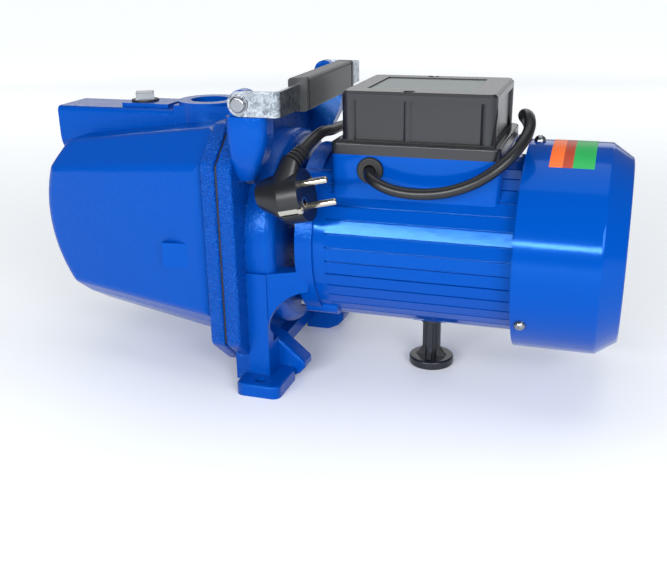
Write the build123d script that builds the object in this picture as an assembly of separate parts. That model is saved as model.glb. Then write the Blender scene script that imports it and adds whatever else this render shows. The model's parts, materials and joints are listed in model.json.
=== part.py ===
from build123d import *
import math
import os

# Shallow well jet pump: cast pump end, lantern bracket with feet, finned motor, terminal box, handle and mains lead.
# Origin: centre of the two foot holes, on the base plane under the shaft. +X runs along the shaft to the fan end,
# +Y to the far side, +Z up. Millimetres.

os.makedirs("parts", exist_ok=True)

# ---- driving dimensions ----
shaft_height = 107.0          # shaft axis above the base
running_gap = 0.3             # air left between faces that move past each other
slide_fit = 0.06              # radial clearance of a pin or plug in its hole

# pump flange joint
flange_half_width = 95.0
flange_half_height = 93.0
flange_cut_y = 29.0           # corner cut of the eight-sided flange, across
flange_cut_z = 24.5           # corner cut, up
flange_rim = 2.0              # cast rounding of the flange's outer edges
casing_flange_thickness = 11.0
gasket_thickness = 1.5
bracket_flange_thickness = 11.5
bracket_flange_rear_x = -12.0
casing_bolt_y = 66.0
casing_bolt_z = 57.0
casing_bolt_r = 4.0           # M8
casing_bolt_head_flats = 13.0
casing_bolt_head_height = 5.3
casing_washer_r = 7.5
casing_washer_thickness = 1.6

# casing body, a tapering eight-sided barrel with a domed front
casing_length = 156.0         # flange face to the front of the dome
casing_wall = 7.0
dome_radius = 98.0
dome_centre_rise = 14.0        # centre of the dome above the shaft
body_edge_fillet = 9.0
body_half_width = 88.0        # at the flange
body_side_taper = 27.0        # how much narrower each side is at the dome
body_top_rise = 89.0          # above the shaft
body_top_taper = 21.0
body_low_drop = 75.0          # below the shaft
body_low_taper = 16.0
body_bevel = 27.0             # sloping shoulder, across
body_bevel_rise = 24.0        # and up
body_side_drop = 49.0         # where the flat side ends
body_corner_drop = 62.0
port_duct_half_width = 22.5
port_duct_rise = 92.5         # top of the duct above the shaft
suction_boss_reach = 4.6      # how far the suction boss stands past the dome
suction_rise = 70.0           # suction port above the shaft
port_thread_r = 15.15         # G1 inch female
port_thread_depth = 18.0
duct_bore_r = 13.0
duct_wall = 6.0
drop_duct_x = -146.0
discharge_x = -70.0
discharge_boss_r = 25.0
discharge_pad_rise = 4.0
discharge_ring_rise = 2.0
priming_pad_front_x = -141.0
priming_pad_rear_x = -100.0
priming_pad_half_width = 14.5
priming_pad_rise = 3.0
priming_x = -128.0
priming_thread_r = 8.0
drain_drop = 29.0             # drain below the shaft
drain_boss_r = 12.0
drain_thread_r = 6.0

# ejector inside the casing
ejector_head_r = 24.0
ejector_head_front_x = -166.0
ejector_head_length = 40.0
ejector_tube_r = 17.0
throat_r = 7.0
nozzle_tip_r = 4.0
ejector_seat_width = 12.0
o_ring_r = 1.6

# impeller and diffuser
impeller_r = 59.0
impeller_shroud = 2.5
impeller_vane_width = 5.5
impeller_rear_x = -15.0
impeller_hub_r = 11.0
impeller_eye_r = 19.0
impeller_vanes = 6
diffuser_plate = 3.5
diffuser_fit = 1.0            # rim inside the barrel bore
diffuser_vanes = 8

# bracket
barrel_r = 78.0
barrel_rear_x = 9.0
barrel_wall = 8.0
barrel_rear_wall = 7.0
barrel_fillet = 8.0
neck_length = 14.0            # barrel to motor flange
motor_flange_thickness = 13.0
motor_flange_rim = 2.2        # flange past the housing
spigot_length = 4.0
leg_outer_y = 79.0
leg_thickness = 10.0
leg_rear_x = 4.0
foot_thickness = 10.0
foot_front_x = -17.0
foot_rear_x = 18.0
foot_outer_y = 98.0
foot_inner_y = 57.0
foot_hole_y = 88.0
foot_hole_r = 4.5
toe_rear_x = 25.0
toe_inner_y = 41.0
arm_drop = 15.5               # top of the arms below the shaft
arch_r = 27.0
cross_bar_z = 10.0

# shaft line
shaft_r = 7.5
seal_shaft_r = 7.0
impeller_shaft_r = 6.0
key_width = 4.0
thread_shaft_r = 5.0
rotor_shaft_r = 9.0
fan_shaft_r = 6.5
seal_seat_r = 13.5
seal_seat_front_x = -1.0
seal_seat_length = 9.0
bearing_outer_r = 17.5        # 15 x 35 x 11 ball bearing
bearing_width = 11.0
bearing_ball_r = 2.98
bearing_pitch_r = 12.5
bearing_balls = 8
front_bearing_inset = 6.0     # from the front of the motor flange

# motor
housing_r = 65.8
housing_wall = 7.3
housing_length = 146.0
housing_front_ring = 9.2
housing_rear_ring = 3.0
facet_count = 40
groove_width = 1.3
groove_depth = 1.7
platform_front_inset = 11.0
platform_rear_inset = 14.0
platform_half_width = 52.0
platform_rise = 71.5          # box platform above the shaft
stator_inset = 40.0           # from the front of the housing
stator_length = 78.0
stator_bore_r = 31.0
rotor_gap = 0.5
winding_reach = 20.0
ear_r = 7.0
ear_circle_r = 63.0
ear_angle = 52.0
motor_screw_r = 2.5

# rear end, fan and cover
shield_thickness = 8.0
shield_rim = 1.8              # shield inside the housing surface
cover_r = 77.0
cover_wall = 1.4
cover_lap = 0.8               # cover over the end of the housing
cover_chamfer_length = 15.3
cover_length = 72.8
cover_chamfer_depth = 10.4
cover_screw_inset = 6.8       # from the front edge of the cover
cover_screw_r = 2.0
cover_screw_turns = (90, 210, 330)
shield_screw_circle = 61.8
shield_screw_r = 1.75
fan_tip_gap = 2.6             # blade tips inside the grille face
fan_gap = 15.0                # from the end shield
fan_length = 26.0
fan_blades = 8
grille_slots = 24
grille_slot_width = 4.4
grille_inner_r = 27.0
grille_outer_r = 58.0

# terminal box
skirt_overhang = 0.5          # over the front of the platform
skirt_rear_inset = 1.0
skirt_half_width = 52.0
skirt_height = 8.5
lid_front_inset = 6.5
lid_rear_inset = 4.5
lid_half_width = 46.6
lid_height = 35.0             # above the skirt
lid_wall = 3.0
lid_panel_inset = 2.4
pillar_r = 6.0
lid_screw_x = 101.0
lid_screw_y = 40.8
lid_screw_r = 1.8
base_screw_r = 1.6
lid_screw_head_r = 3.6
lid_boss_r = 4.4
lid_gasket_thickness = 1.0
label_front_inset = 14.7
label_rear_inset = 18.5
label_near_y = -29.3
label_far_y = 32.7
label_recess = 1.4
label_thickness = 0.4
capacitor_r = 13.0
capacitor_length = 62.0

# handle
pivot_x = -2.5
pivot_rise = 111.5            # handle pivot above the shaft
lug_inner_y = 84.0
lug_outer_y = 92.7
lug_tip_r = 9.0
corbel_front_x = -14.5
corbel_rear_x = 15.0
strap_thickness = 3.0
strap_width = 17.0
strap_reach = 27.4            # pivot to the centre of the cross bar
strap_bend_r = 5.0
grip_depth = 14.0
grip_height = 23.2
grip_half_length = 56.3
pivot_bolt_r = 3.0
pivot_head_r = 5.5
pivot_head_height = 3.0

# motor foot
rest_x = 113.0
rest_disc_r = 17.7
rest_disc_thickness = 7.0
rest_post_width = 14.0
rest_rib = 4.0

# mains lead and plug
cord_r = 4.0
grommet_x = 76.5
grommet_drop = 10.5           # below the platform
grommet_r = 9.5
grommet_hole_r = 7.0
grommet_reach = 3.0
plug_face = (41.2, -88.0, 157.0)
plug_tilt = 13.0              # degrees the pins rise from level
plug_r = 18.5
plug_body_length = 33.0
pin_r = 2.4
pin_length = 19.0
pin_root_r = 1.9              # thinner root of each pin, moulded into the plug
pin_root_length = 8.0
pin_neck = 0.4                # root left showing at the plug's face
pin_spacing = 19.0
clip_width = 4.0
contact_r = 2.5
contact_offset = 8.0
relief_base = (29.0, -88.0, 176.5)
relief_tip = (35.5, -76.0, 185.5)
relief_base_r = 7.0
relief_tip_r = 5.2

# ---- places worked out from them ----
dome_centre_z = shaft_height + dome_centre_rise
port_duct_top_z = shaft_height + port_duct_rise
suction_axis_z = shaft_height + suction_rise
drain_z = shaft_height - drain_drop
arm_top_z = shaft_height - arm_drop
platform_z = shaft_height + platform_rise
pivot_z = shaft_height + pivot_rise
grommet_z = platform_z - grommet_drop
barrel_bore_r = barrel_r - barrel_wall
diffuser_r = barrel_bore_r - diffuser_fit
motor_flange_front_x = barrel_rear_x + neck_length
motor_flange_r = housing_r + motor_flange_rim
front_bearing_x = motor_flange_front_x + front_bearing_inset
housing_bore_r = housing_r - housing_wall
shield_r = housing_r - shield_rim
gasket_rear_x = bracket_flange_rear_x - bracket_flange_thickness
casing_flange_rear_x = gasket_rear_x - gasket_thickness
casing_flange_front_x = casing_flange_rear_x - casing_flange_thickness
dome_front_x = casing_flange_front_x - casing_length
suction_face_x = dome_front_x - suction_boss_reach
motor_flange_rear_x = motor_flange_front_x + motor_flange_thickness
housing_front_x = motor_flange_rear_x
housing_end_x = housing_front_x + housing_length
stator_front_x = housing_front_x + stator_inset
platform_front_x = housing_front_x + platform_front_inset
platform_rear_x = housing_end_x - platform_rear_inset
skirt_front_x = platform_front_x - skirt_overhang
skirt_rear_x = platform_rear_x - skirt_rear_inset
lid_front_x = skirt_front_x + lid_front_inset
lid_rear_x = skirt_rear_x - lid_rear_inset
label_front_x = lid_front_x + label_front_inset
label_rear_x = lid_rear_x - label_rear_inset
cover_front_x = housing_end_x - cover_lap
cover_screw_x = cover_front_x + cover_screw_inset
cover_rear_x = cover_front_x + cover_length
cover_chamfer_x = cover_rear_x - cover_chamfer_length
cover_rear_r = cover_r - cover_chamfer_depth
fan_r = cover_rear_r - fan_tip_gap
fan_front_x = housing_end_x + shield_thickness + fan_gap
rear_bearing_x = housing_end_x - spigot_length
strap_inner_y = lug_outer_y + running_gap
grip_x = pivot_x + strap_reach
skirt_top_z = platform_z + skirt_height
lid_top_z = skirt_top_z + lid_height
impeller_front_x = impeller_rear_x - 2 * impeller_shroud - impeller_vane_width - 1.5


def block(x0, x1, y0, y1, z0, z1):
    return Pos((x0 + x1) / 2, (y0 + y1) / 2, (z0 + z1) / 2) * Box(x1 - x0, y1 - y0, z1 - z0)


def rod_x(radius, x0, x1, y=0.0, z=shaft_height):
    """Round bar along the shaft direction."""
    return Pos((x0 + x1) / 2, y, z) * Rot(0, 90, 0) * Cylinder(radius, x1 - x0)


def rod_y(radius, y0, y1, x, z):
    return Pos(x, (y0 + y1) / 2, z) * Rot(90, 0, 0) * Cylinder(radius, y1 - y0)


def rod_z(radius, z0, z1, x, y):
    return Pos(x, y, (z0 + z1) / 2) * Cylinder(radius, z1 - z0)


def tube_x(outer, inner, x0, x1, y=0.0, z=shaft_height):
    return rod_x(outer, x0, x1, y, z) - rod_x(inner, x0 - 1, x1 + 1, y, z)


def hex_x(flats, x0, x1, y=0.0, z=shaft_height):
    """Hexagon bar along the shaft direction, sized over its flats."""
    profile = Plane(origin=(x0, y, z), x_dir=(0, 1, 0), z_dir=(1, 0, 0)) * RegularPolygon(flats / math.sqrt(3), 6)
    return extrude(profile, x1 - x0)


def section_yz(x, points):
    """Closed flat outline across the shaft, from (y, height) points."""
    wire = Polyline([(x, y, z) for y, z in points], close=True)
    return Face(Wire(wire.edges()))


def revolve_x(points):
    """Solid of revolution about the shaft axis, from (x, radius) points."""
    wire = Polyline([(x, 0, shaft_height + r) for x, r in points], close=True)
    return revolve(Face(Wire(wire.edges())), Axis((0, 0, shaft_height), (1, 0, 0)), 360)


def one(shape):
    """The single solid of a result."""
    found = shape.solids()
    if len(found) != 1:
        raise ValueError("expected one solid, found %d" % len(found))
    return found[0]


def group(shapes):
    """Separate solids that share a node."""
    loose = []
    for shape in shapes:
        loose.extend(shape.solids())
    return Compound(children=loose)


def save(name, shape):
    export_step(shape, "parts/%s.step" % name)
    print(name, len(shape.solids()), round(shape.volume / 1000, 2), "cm3")


def flange_outline():
    w = flange_half_width
    h = flange_half_height
    cy = flange_cut_y
    cz = flange_cut_z
    corner = [(w, h - cz), (w - cy, h)]
    half = corner + [(cy - w, h), (-w, h - cz)]
    return [(y, shaft_height + z) for y, z in half] + [(-y, shaft_height - z) for y, z in half]


def flange_plate(x0, x1, rim=0.0):
    """Eight-sided plate; a rim radius rounds its corners and outer edges as the casting does."""
    plate = extrude(section_yz(x0, flange_outline()), x1 - x0, dir=(1, 0, 0))
    if rim:
        plate = fillet(plate.edges().filter_by(Axis.X), 4 * rim)
        plate = fillet(plate.edges().filter_by(lambda e: abs(e.center().X - x0) < 0.1 or abs(e.center().X - x1) < 0.1), rim)
    return plate


def bolt_places():
    return [(sy * casing_bolt_y, shaft_height + sz * casing_bolt_z) for sy in (-1, 1) for sz in (-1, 1)]


def screw_places(circle=ear_circle_r, angle=ear_angle):
    """Four places on a circle about the shaft, mirrored left to right and top to bottom."""
    y = circle * math.cos(math.radians(angle))
    z = circle * math.sin(math.radians(angle))
    return [(sy * y, shaft_height + sz * z) for sy in (-1, 1) for sz in (-1, 1)]


# ---- pump casing ----
def casing_outline(share, inset):
    """Half outline of the body: share 0 at the flange, 1 at the dome; inset makes the inner wall."""
    side = body_half_width - body_side_taper * share - inset
    top = shaft_height + body_top_rise - body_top_taper * share - inset
    low = shaft_height - body_low_drop + body_low_taper * share + inset
    bevel = body_bevel - 10.0 * share
    rise = body_bevel_rise - 5.0 * share
    foot_y = 13.0 - 2.0 * share
    side_low = shaft_height - body_side_drop + 9.5 * share
    corner_low = shaft_height - body_corner_drop + 11.5 * share + inset * 0.4
    points = [(side, side_low), (side, top - rise), (side - bevel, top)]
    points += [(bevel - side, top), (-side, top - rise), (-side, side_low)]
    points += [(foot_y - side, corner_low), (2.2 * foot_y - side, low)]
    points += [(side - 2.2 * foot_y, low), (side - foot_y, corner_low)]
    return points


def dome_cutter(inset):
    """Slab with a rounded front, as wide as the casing, that gives the body its domed end."""
    radius = dome_radius - inset
    centre_x = dome_front_x + dome_radius
    drum = rod_y(radius, -120, 120, centre_x, dome_centre_z)
    slab = block(centre_x, casing_flange_rear_x, -120, 120, 0, dome_centre_z + 119)
    return drum + slab


def body_loft(inset):
    front = section_yz(dome_front_x, casing_outline(1.0, inset))
    rear = section_yz(casing_flange_front_x, casing_outline(0.0, inset))
    return loft([front, rear])


def pump_casing():
    body = body_loft(0.0) & dome_cutter(0.0)
    front_edges = body.edges().filter_by(lambda e: e.center().X < dome_front_x + 40 and e.length > 3)
    long_edges = body.edges().filter_by(lambda e: e.center().X > dome_front_x + 40 and e.length > 105)
    body = fillet(front_edges + long_edges, body_edge_fillet)
    duct = block(suction_face_x, casing_flange_front_x, -port_duct_half_width, port_duct_half_width,
                 suction_axis_z, port_duct_top_z)
    duct = fillet(duct.edges().filter_by(Axis.X).sort_by(Axis.Z)[-2:], 4.0)
    duct += rod_x(port_duct_half_width, suction_face_x, casing_flange_front_x, 0, suction_axis_z)
    shell = body + duct + flange_plate(casing_flange_front_x, casing_flange_rear_x, flange_rim)
    pad_top = port_duct_top_z + discharge_pad_rise
    shell += block(discharge_x - 21, casing_flange_rear_x, -port_duct_half_width, port_duct_half_width,
                   suction_axis_z, pad_top)
    shell += rod_z(discharge_boss_r, suction_axis_z, pad_top + discharge_ring_rise, discharge_x, 0)
    shell += block(priming_pad_front_x, priming_pad_rear_x, -priming_pad_half_width, priming_pad_half_width,
                   suction_axis_z, port_duct_top_z + priming_pad_rise)
    shell += rod_x(drain_boss_r, dome_front_x + 6, dome_front_x + 24, 0, drain_z)
    for side in (-1, 1):
        shell += near_face_pad(side)
    cavity = body_loft(casing_wall) & dome_cutter(casing_wall)
    shell -= cavity
    shell -= rod_x(barrel_bore_r, casing_flange_front_x - 8, casing_flange_rear_x + 1)
    shell += suction_duct()
    shell -= rod_x(port_thread_r, suction_face_x - 1, suction_face_x + port_thread_depth, 0, suction_axis_z)
    shell -= rod_x(duct_bore_r, suction_face_x, drop_duct_x + 1, 0, suction_axis_z)
    shell -= rod_z(duct_bore_r, shaft_height, suction_axis_z, drop_duct_x, 0)
    shell -= Pos(drop_duct_x, 0, suction_axis_z) * Sphere(duct_bore_r)
    shell -= rod_x(ejector_head_r, ejector_head_front_x - 2, ejector_head_front_x + ejector_head_length + 40)
    shell -= rod_z(port_thread_r, suction_axis_z - 5, pad_top + 10, discharge_x, 0)
    shell -= rod_z(priming_thread_r + slide_fit, suction_axis_z - 5, pad_top + 10, priming_x, 0)
    shell -= rod_x(drain_thread_r + slide_fit, dome_front_x, dome_front_x + 40, 0, drain_z)
    for y, z in bolt_places():
        shell -= rod_x(casing_bolt_r, casing_flange_front_x + 1.5, casing_flange_rear_x + 1, y, z)
    return one(shell)


def near_face_pad(side):
    """Low rectangular pad cast on each flank, lying along the taper."""
    taper = math.degrees(math.atan2(body_side_taper, casing_length))
    pad = Box(30, 6, 19)
    return Pos(-60.5, side * (body_half_width - 5.6), shaft_height - 4) * Rot(0, 0, -side * taper) * pad


def suction_duct():
    """Passage cast inside the casing: from the suction port back, then down to the ejector's seat."""
    outer = duct_bore_r + duct_wall
    duct = rod_x(outer, dome_front_x + 12, drop_duct_x, 0, suction_axis_z)
    duct += rod_z(outer, shaft_height + ejector_head_r - 3, suction_axis_z, drop_duct_x, 0)
    duct += Pos(drop_duct_x, 0, suction_axis_z) * Sphere(outer)
    seat_outer = ejector_head_r + duct_wall
    duct += rod_x(seat_outer, drop_duct_x - outer, drop_duct_x + outer)
    duct -= rod_x(ejector_head_r, drop_duct_x - outer - 1, drop_duct_x + outer + 1)
    return duct


def priming_plug():
    top = port_duct_top_z + priming_pad_rise + 1.2
    head = block(priming_x - 7.2, priming_x + 7.2, -7.2, 7.2, top, top + 6.0)
    head = chamfer(head.edges().group_by(Axis.Z)[-1], 0.8)
    head = Pos(priming_x, 0, 0) * Rot(0, 0, 28) * Pos(-priming_x, 0, 0) * head
    return one(head + rod_z(priming_thread_r, top - 14, top, priming_x, 0))


def priming_plug_seal():
    low = port_duct_top_z + priming_pad_rise
    return one(rod_z(priming_thread_r + 3.0, low, low + 1.2, priming_x, 0)
               - rod_z(priming_thread_r, low - 1, low + 2, priming_x, 0))


def drain_face_x():
    return dome_front_x + 6


def drain_plug():
    face = drain_face_x() - 1.2
    return one(hex_x(14.0, face - 6.0, face, 0, drain_z) + rod_x(drain_thread_r, face, face + 18, 0, drain_z))


def drain_plug_seal():
    face = drain_face_x()
    return one(tube_x(drain_thread_r + 3.0, drain_thread_r, face - 1.2, face, 0, drain_z))


# ---- ejector ----
def ejector_body():
    head_rear = ejector_head_front_x + ejector_head_length
    tube_rear = impeller_front_x - 8.5
    outer = [(ejector_head_front_x, 0), (ejector_head_front_x, ejector_head_r - slide_fit)]
    outer += [(head_rear, ejector_head_r - slide_fit), (head_rear + 8, 13.0), (tube_rear - 50, ejector_tube_r)]
    outer += [(tube_rear, ejector_tube_r), (tube_rear, 0)]
    body = revolve_x(outer)
    bore = [(ejector_head_front_x - 1, 0), (ejector_head_front_x - 1, 18.5), (head_rear - 6, 18.5)]
    bore += [(head_rear - 2, 11.0), (head_rear + 16, throat_r), (head_rear + 34, throat_r)]
    bore += [(tube_rear + 1, 14.5), (tube_rear + 1, 0)]
    body -= revolve_x(bore)
    body -= rod_z(duct_bore_r - 1, shaft_height + 5, shaft_height + ejector_head_r + 5, drop_duct_x, 0)
    groove = ejector_head_front_x + 3.0
    body -= tube_x(ejector_head_r + 1, ejector_head_r - 2 * o_ring_r - 0.1, groove, groove + 2.4 * o_ring_r)
    return one(body)


def ejector_nozzle():
    front = ejector_head_front_x - 6.0
    outer = [(front, 0), (front, 21.0), (front + 6, 21.0), (front + 6, 18.5), (front + 16, 18.5)]
    outer += [(front + 18, 12.0), (front + 40, nozzle_tip_r + 2.0), (front + 40, 0)]
    bore = [(front - 1, 0), (front - 1, 15.0), (front + 12, 14.0), (front + 38, nozzle_tip_r)]
    bore += [(front + 41, nozzle_tip_r), (front + 41, 0)]
    return one(revolve_x(outer) - revolve_x(bore))


def ejector_o_ring():
    centre = ejector_head_front_x + 3.0 + 1.2 * o_ring_r
    ring = Pos(centre, 0, shaft_height) * Rot(0, 90, 0) * Torus(ejector_head_r - o_ring_r - slide_fit, o_ring_r)
    return one(ring)


# ---- impeller and diffuser ----
def vane(inner, outer, width, thickness, sweep, x0, turn):
    """Curved blade that leans back as it runs out from the hub."""
    def at(radius, degrees, side):
        a = math.radians(turn + degrees) + side * thickness / 2 / radius
        return (x0, radius * math.cos(a), shaft_height + radius * math.sin(a))

    middle = (inner + outer) / 2
    edges = []
    for side in (-1, 1):
        edges.append(ThreePointArc(at(inner, 0, side), at(middle, sweep * 0.35, side), at(outer, sweep, side)))
    edges.append(Line(at(inner, 0, -1), at(inner, 0, 1)))
    edges.append(Line(at(outer, sweep, -1), at(outer, sweep, 1)))
    return extrude(Face(Wire([e.edge() for e in edges])), width, dir=(1, 0, 0))


def impeller():
    rear = impeller_rear_x
    shroud_rear = rear - 1.5
    vane_rear = shroud_rear - impeller_shroud
    vane_front = vane_rear - impeller_vane_width
    body = rod_x(impeller_r, vane_rear, shroud_rear)
    body += tube_x(impeller_r, impeller_eye_r - 3, vane_front - impeller_shroud, vane_front)
    body += tube_x(impeller_eye_r, impeller_eye_r - 3, vane_front - impeller_shroud - 7, vane_front)
    body += rod_x(impeller_hub_r, vane_front - impeller_shroud, rear)
    for k in range(impeller_vanes):
        body += vane(impeller_eye_r - 2.0, impeller_r - 1.0, impeller_vane_width + 0.4, 2.4, 62,
                     vane_front - 0.2, 360 * k / impeller_vanes)
    body -= rod_x(impeller_shaft_r, vane_front - 12, rear + 1)
    body -= block(vane_front - 12, rear + 1, -key_width / 2, key_width / 2,
                  shaft_height, shaft_height + impeller_shaft_r + 1.6)
    return one(body)




def impeller_key():
    low = shaft_height + impeller_shaft_r - 2.0
    return one(block(impeller_rear_x - 11, impeller_rear_x - 1, -key_width / 2, key_width / 2, low, low + 3.4))


def impeller_nut():
    rear = impeller_rear_x - 1.5 - 2 * impeller_shroud - impeller_vane_width
    nut = hex_x(15.0, rear - 7.0, rear)
    return one(nut - rod_x(thread_shaft_r, rear - 8, rear + 1))


def diffuser():
    eye_rear = impeller_rear_x - 1.5 - 2 * impeller_shroud - impeller_vane_width
    plate_rear = eye_rear - 1.5
    plate_front = plate_rear - diffuser_plate
    body = tube_x(diffuser_r, impeller_eye_r + running_gap, plate_front, plate_rear)
    body += tube_x(ejector_tube_r + 5, ejector_tube_r, plate_front - 14, plate_front - 3)
    body += tube_x(impeller_eye_r + 5, impeller_eye_r + running_gap, plate_front - 4, plate_front)
    for k in range(diffuser_vanes):
        body += vane(impeller_r + 2.5, diffuser_r - 0.5, 13.0, 2.6, 26, plate_rear - 0.5, 360 * k / diffuser_vanes)
    return one(body)


# ---- shaft seal ----
def seal_seat():
    body = tube_x(seal_seat_r, seal_shaft_r + 1.0, seal_seat_front_x, seal_seat_front_x + seal_seat_length)
    return one(body)


def seal_head():
    """Rotating half of the seal: sprung carrier and carbon face."""
    rear = seal_seat_front_x - 0.1
    front = impeller_rear_x
    profile = [(front, seal_shaft_r), (front, 10.5), (front + 3, 10.5), (front + 3, 12.6), (rear - 5, 12.6)]
    profile += [(rear - 5, 11.2), (rear, 11.2), (rear, seal_shaft_r)]
    return one(revolve_x(profile))


# ---- joint of casing and bracket ----
def casing_gasket():
    plate = flange_plate(casing_flange_rear_x, gasket_rear_x)
    rim = [(y * 0.98, shaft_height + (z - shaft_height) * 0.98) for y, z in flange_outline()]
    plate &= extrude(section_yz(casing_flange_rear_x, rim), gasket_thickness, dir=(1, 0, 0))
    plate -= rod_x(barrel_bore_r + 1, casing_flange_rear_x - 1, gasket_rear_x + 1)
    for y, z in bolt_places():
        plate -= rod_x(casing_bolt_r + 0.5, casing_flange_rear_x - 1, gasket_rear_x + 1, y, z)
    return one(plate)


def casing_bolts():
    seat = bracket_flange_rear_x + casing_washer_thickness
    bolts = []
    for y, z in bolt_places():
        bolt = hex_x(casing_bolt_head_flats, seat, seat + casing_bolt_head_height, y, z)
        bolt += rod_x(casing_bolt_r, casing_flange_front_x + 3, seat, y, z)
        bolts.append(bolt)
    return group(bolts)


def casing_washers():
    rear = bracket_flange_rear_x + casing_washer_thickness
    return group([tube_x(casing_washer_r, casing_bolt_r + 0.2, bracket_flange_rear_x, rear, y, z)
                  for y, z in bolt_places()])


# ---- bracket ----
def corbel_section(z, x1, y0, y1, corner):
    """Rounded rectangle of the handle's corbel at one height."""
    outline = Polyline([(corbel_front_x, y0, z), (x1, y0, z), (x1, y1, z), (corbel_front_x, y1, z)], close=True)
    return fillet(make_face(outline).vertices().sort_by(Axis.Y)[-2:], corner).face()


def handle_lug(side):
    """Upright ear for the handle pivot, on a swelling corbel whose ledge carries the strap at rest."""
    ledge_z = pivot_z - strap_width / 2 - running_gap
    outer = strap_inner_y + strap_thickness + 1.0
    sections = [
        corbel_section(pivot_z - 56.5, -3.0, 70.0, 82.0, 4.0),
        corbel_section(pivot_z - 32.5, corbel_rear_x - 3, 76.0, outer - 2, 6.0),
        corbel_section(ledge_z, corbel_rear_x, 80.0, outer, 7.0)]
    lug = loft(sections)
    lug += block(pivot_x - lug_tip_r, pivot_x + lug_tip_r, lug_inner_y, lug_outer_y, ledge_z - 6, pivot_z)
    lug += rod_y(lug_tip_r, lug_inner_y, lug_outer_y, pivot_x, pivot_z)
    lug -= rod_y(pivot_bolt_r, lug_inner_y - 5, lug_outer_y + 9, pivot_x, pivot_z)
    return lug if side > 0 else mirror(lug, Plane.XZ)


def bracket_leg(side):
    """Leg, arched arm to the motor flange, foot pad and toe of one side, built at +Y and mirrored for the other."""
    inner_y = leg_outer_y - leg_thickness
    leg = block(gasket_rear_x, leg_rear_x, inner_y, leg_outer_y, 4, arm_top_z)
    leg += block(gasket_rear_x, leg_rear_x, 58, inner_y + 1, cross_bar_z, 34)
    arm_rear_x = motor_flange_front_x + 8
    arm = make_face(Polyline([(-4, inner_y - 1), (-4, leg_outer_y), (leg_rear_x - 3, leg_outer_y), (arm_rear_x, 63),
                              (arm_rear_x, 50), (leg_rear_x, inner_y - 8)], close=True))
    arm = Pos(0, 0, 46) * extrude(arm, arm_top_z - 46)
    arm -= rod_y(arch_r, 40, 90, arm_rear_x, 48)
    arm -= Pos(arm_rear_x, 60, arm_top_z + 3) * Rot(0, 10, 0) * Box(60, 60, 6)
    leg += arm
    pad = block(foot_front_x, foot_rear_x, foot_inner_y, foot_outer_y, 0, foot_thickness)
    pad = fillet(pad.edges().filter_by(Axis.Z), 6.0)
    pad = fillet(pad.edges().group_by(Axis.Z)[-1], 2.0)
    profile = [(-8, 0), (13, 0), (20, 3.5), (toe_rear_x, 9), (toe_rear_x, 14), (20, 18.5), (7, 29.5), (-8, 36)]
    toe = make_face(Polyline([(x, toe_inner_y, z) for x, z in profile], close=True))
    toe = extrude(toe, foot_inner_y + 2 - toe_inner_y, dir=(0, 1, 0))
    toe = fillet(toe.edges().filter_by(lambda e: e.center().X > 12), 2.5)
    leg += pad + toe
    leg -= rod_z(foot_hole_r, -1, foot_thickness + 1, 0, foot_hole_y)
    return leg if side > 0 else mirror(leg, Plane.XZ)


def bracket():
    body = flange_plate(gasket_rear_x, bracket_flange_rear_x, flange_rim)
    barrel = rod_x(barrel_r, bracket_flange_rear_x - 2, barrel_rear_x)
    barrel = fillet(barrel.edges().filter_by(GeomType.CIRCLE).sort_by(Axis.X)[-1:], barrel_fillet)
    body += barrel
    body += rod_x(motor_flange_r, motor_flange_front_x, motor_flange_rear_x)
    body += rod_x(housing_bore_r - slide_fit, motor_flange_rear_x, motor_flange_rear_x + spigot_length)
    for side in (-1, 1):
        body += block(barrel_rear_x - 3, motor_flange_front_x + 1, side * 44 - 6, side * 44 + 6,
                      shaft_height + 31, shaft_height + 45)
        body += bracket_leg(side)
        body += handle_lug(side)
    body += block(gasket_rear_x, -3, -leg_outer_y, leg_outer_y, cross_bar_z, cross_bar_z + 11)
    body += block(barrel_rear_x - 3, motor_flange_front_x + 1, -7, 7, shaft_height - 62, shaft_height - 48)
    for y, z in screw_places():
        body += rod_x(ear_r, motor_flange_front_x, motor_flange_rear_x, y, z)
    body -= rod_x(barrel_bore_r, gasket_rear_x - 1, barrel_rear_x - barrel_rear_wall)
    body += rod_x(seal_seat_r + 5, seal_seat_front_x - 1, barrel_rear_x)
    body -= rod_x(seal_seat_r, seal_seat_front_x - 2, seal_seat_front_x + seal_seat_length)
    body -= rod_x(seal_shaft_r + 2, 0, front_bearing_x)
    body -= rod_x(bearing_outer_r, front_bearing_x, motor_flange_rear_x + spigot_length + 1)
    body -= tube_x(housing_bore_r - 5, bearing_outer_r + 6, motor_flange_front_x + 5,
                   motor_flange_rear_x + spigot_length + 1)
    for y, z in bolt_places():
        body -= rod_x(casing_bolt_r + 0.4, gasket_rear_x - 1, bracket_flange_rear_x, y, z)
        body -= rod_x(casing_washer_r + 1.5, bracket_flange_rear_x, barrel_rear_x + 3, y, z)
    for y, z in screw_places():
        body -= rod_x(motor_screw_r + 0.2, motor_flange_front_x - 1, motor_flange_rear_x + 1, y, z)
    return one(body)


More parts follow.
